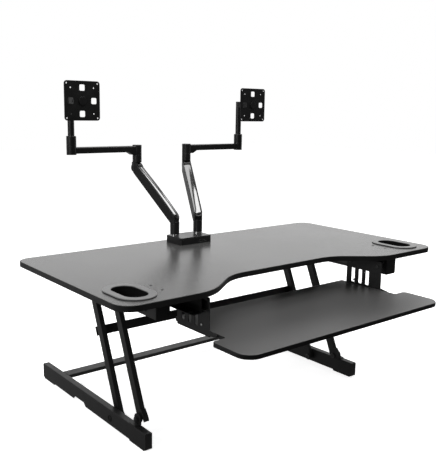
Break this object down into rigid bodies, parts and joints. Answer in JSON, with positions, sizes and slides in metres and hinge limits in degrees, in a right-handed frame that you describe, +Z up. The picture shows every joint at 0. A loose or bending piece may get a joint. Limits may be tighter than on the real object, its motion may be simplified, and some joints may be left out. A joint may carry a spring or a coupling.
{
  "type": "standing desk converter",
  "caption": "Raised desk-top platform on parallel leaning links with a sliding keyboard tray below and a pair of articulated monitor arms.",
  "frame": {"origin": "on the desk surface, at the middle of the footprint from the tray's front edge to the rear ends of the feet", "axes": "+X to the user's right along the worktop, +Y to the rear, +Z up"},
  "size_m": [1.168, 0.952, 0.9614],
  "materials": {
    "powder_coat": "fine satin black powder coat",
    "worktop_laminate": "matt black low-pressure laminate with a fine grain",
    "edge_plastic": "matt black edging",
    "tray_laminate": "matt black laminate",
    "grommet_plastic": "dark grey moulded plastic",
    "black_plastic": "fine spark-eroded texture",
    "rubber": "matt",
    "nylon": "black",
    "black_zinc": "black zinc plate",
    "zinc_steel": "bright zinc plate",
    "spring_steel": "ground",
    "gas_spring_paint": "gloss black",
    "rod_chrome": "hard chrome",
    "cable_sheath": "extruded vinyl",
    "arm_casting": "satin black painted casting",
    "polished_cover": "polished dark metallic"
  },
  "bodies": {
    "base": {"foot_left": "powder_coat", "foot_right": "powder_coat", "foot_end_caps": "black_plastic", "rubber_feet": "rubber", "base_crossbar": "powder_coat", "pivot_lugs": "powder_coat", "lower_pivot_bolts": "black_zinc", "lower_pivot_bushes": "nylon"},
    "rear_lift_frame": {"rear_link_left": "powder_coat", "rear_link_right": "powder_coat", "upper_crossbar": "powder_coat"},
    "front_lift_link_left": {"front_link_left": "powder_coat", "lift_crank_left": "zinc_steel"},
    "front_lift_link_right": {"front_link_right": "powder_coat", "lift_crank_right": "zinc_steel"},
    "worktop": {"worktop_board": "worktop_laminate", "worktop_edge_band": "edge_plastic", "grommets": "grommet_plastic", "side_rail_left": "powder_coat", "side_rail_right": "powder_coat", "rail_end_caps": "black_plastic", "rail_bushes": "nylon", "rail_pivot_bolts": "black_zinc", "worktop_screws": "zinc_steel", "slide_hangers": "powder_coat", "slide_outer_members": "black_zinc", "gas_spring_cylinders": "gas_spring_paint", "lever_housing": "black_plastic", "lever_bracket": "powder_coat", "lever_spring": "spring_steel", "release_cable": "cable_sheath", "arm_base": "arm_casting", "arm_base_cover": "polished_cover", "arm_clamp_nuts": "black_zinc", "port_panel": "black_plastic", "post_collars": "rod_chrome"},
    "gas_spring_rod_left": {"gas_rod_left": "rod_chrome"},
    "gas_spring_rod_right": {"gas_rod_right": "rod_chrome"},
    "lever": {"release_lever": "black_plastic"},
    "tray": {"tray_board": "tray_laminate", "tray_bracket_left": "powder_coat", "tray_bracket_right": "powder_coat", "slide_inner_members": "black_zinc", "tray_fasteners": "black_zinc"},
    "arm_swivel_left": {"arm_post_left": "arm_casting"},
    "monitor_arm_left": {"arm_shell_left": "arm_casting", "arm_cover_left": "polished_cover"},
    "arm_head_left": {"arm_neck_left": "arm_casting"},
    "arm_reach_left": {"arm_extension_left": "arm_casting"},
    "arm_pan_left": {"pan_head_left": "arm_casting"},
    "arm_tilt_left": {"tilt_knuckle_left": "arm_casting"},
    "arm_plate_left": {"monitor_plate_left": "arm_casting"},
    "arm_swivel_right": {"arm_post_right": "arm_casting"},
    "monitor_arm_right": {"arm_shell_right": "arm_casting", "arm_cover_right": "polished_cover"},
    "arm_head_right": {"arm_neck_right": "arm_casting"},
    "arm_reach_right": {"arm_extension_right": "arm_casting"},
    "arm_pan_right": {"pan_head_right": "arm_casting"},
    "arm_tilt_right": {"tilt_knuckle_right": "arm_casting"},
    "arm_plate_right": {"monitor_plate_right": "arm_casting"}
  },
  "joints": [
    {"name": "lift", "type": "hinge", "parent": "base", "child": "rear_lift_frame", "pos_m": [0, 0.04, 0.025], "axis": [-1, 0, 0], "range_deg": [0, 58.5]},
    {"name": "worktop_level", "type": "hinge", "parent": "rear_lift_frame", "child": "worktop", "pos_m": [0, 0.19809, 0.39243], "axis": [-1, 0, 0], "range_deg": [-58.5, 0]},
    {"name": "front_link_pivot_left", "type": "hinge", "parent": "base", "child": "front_lift_link_left", "pos_m": [0, -0.075, 0.063], "axis": [-1, 0, 0], "range_deg": [0, 58.5]},
    {"name": "front_link_pivot_right", "type": "hinge", "parent": "base", "child": "front_lift_link_right", "pos_m": [0, -0.075, 0.063], "axis": [-1, 0, 0], "range_deg": [0, 58.5]},
    {"name": "gas_rod_slide_left", "type": "slide", "parent": "worktop", "child": "gas_spring_rod_left", "axis": [0, -1, 0], "range_m": [0, 0.0333]},
    {"name": "gas_rod_slide_right", "type": "slide", "parent": "worktop", "child": "gas_spring_rod_right", "axis": [0, -1, 0], "range_m": [0, 0.0333]},
    {"name": "tray_slide", "type": "slide", "parent": "worktop", "child": "tray", "axis": [0, 1, 0], "range_m": [0, 0.165]},
    {"name": "release_squeeze", "type": "hinge", "parent": "worktop", "child": "lever", "pos_m": [0.449, -0.155, 0.428], "axis": [0, -1, 0], "range_deg": [0, 12], "stiffness_Nm_per_rad": 2},
    {"name": "arm_swivel_left", "type": "hinge", "parent": "worktop", "child": "arm_swivel_left", "pos_m": [-0.07, 0.226, 0.5], "axis": [0, 0, 1], "range_deg": [-60, 60]},
    {"name": "arm_raise_left", "type": "hinge", "parent": "arm_swivel_left", "child": "monitor_arm_left", "pos_m": [-0.07, 0.226, 0.5375], "axis": [0.9336, 0.3584, 0], "range_deg": [-44, 25]},
    {"name": "arm_head_level_left", "type": "hinge", "parent": "monitor_arm_left", "child": "arm_head_left", "pos_m": [-0.12361, 0.36566, 0.6937], "axis": [0.9336, 0.3584, 0], "range_deg": [-25, 44]},
    {"name": "extension_swing_left", "type": "hinge", "parent": "arm_head_left", "child": "arm_reach_left", "pos_m": [-0.12361, 0.36566, 0.6937], "axis": [0, 0, 1], "range_deg": [-80, 80]},
    {"name": "arm_pan_left", "type": "hinge", "parent": "arm_reach_left", "child": "arm_pan_left", "pos_m": [-0.35861, 0.36566, 0.6937], "axis": [0, 0, 1], "range_deg": [-60, 60]},
    {"name": "arm_tilt_left", "type": "hinge", "parent": "arm_pan_left", "child": "arm_tilt_left", "pos_m": [-0.35861, 0.32566, 0.9039], "axis": [1, 0, 0], "range_deg": [-35, 35]},
    {"name": "plate_turn_left", "type": "hinge", "parent": "arm_tilt_left", "child": "arm_plate_left", "pos_m": [-0.35861, 0.28866, 0.9039], "axis": [0, 1, 0], "range_deg": [-90, 90]},
    {"name": "arm_swivel_right", "type": "hinge", "parent": "worktop", "child": "arm_swivel_right", "pos_m": [0.023, 0.226, 0.5], "axis": [0, 0, 1], "range_deg": [-60, 60]},
    {"name": "arm_raise_right", "type": "hinge", "parent": "arm_swivel_right", "child": "monitor_arm_right", "pos_m": [0.023, 0.226, 0.5375], "axis": [0.9336, -0.3584, 0], "range_deg": [-44, 25]},
    {"name": "arm_head_level_right", "type": "hinge", "parent": "monitor_arm_right", "child": "arm_head_right", "pos_m": [0.07661, 0.36566, 0.6937], "axis": [0.9336, -0.3584, 0], "range_deg": [-25, 44]},
    {"name": "extension_swing_right", "type": "hinge", "parent": "arm_head_right", "child": "arm_reach_right", "pos_m": [0.07661, 0.36566, 0.6937], "axis": [0, 0, 1], "range_deg": [-80, 80]},
    {"name": "arm_pan_right", "type": "hinge", "parent": "arm_reach_right", "child": "arm_pan_right", "pos_m": [0.31161, 0.36566, 0.6937], "axis": [0, 0, 1], "range_deg": [-60, 60]},
    {"name": "arm_tilt_right", "type": "hinge", "parent": "arm_pan_right", "child": "arm_tilt_right", "pos_m": [0.31161, 0.32566, 0.9039], "axis": [1, 0, 0], "range_deg": [-35, 35]},
    {"name": "plate_turn_right", "type": "hinge", "parent": "arm_tilt_right", "child": "arm_plate_right", "pos_m": [0.31161, 0.28866, 0.9039], "axis": [0, 1, 0], "range_deg": [-90, 90]}
  ],
  "couplings": [
    {"joint": "worktop_level", "follows": "lift", "ratio": -1},
    {"joint": "front_link_pivot_left", "follows": "lift", "ratio": 1},
    {"joint": "front_link_pivot_right", "follows": "lift", "ratio": 1},
    {"joint": "gas_rod_slide_left", "follows": "lift", "m_per_rad": 0.032542},
    {"joint": "gas_rod_slide_right", "follows": "lift", "m_per_rad": 0.032542},
    {"joint": "arm_head_level_left", "follows": "arm_raise_left", "ratio": -1},
    {"joint": "arm_head_level_right", "follows": "arm_raise_right", "ratio": -1}
  ]
}
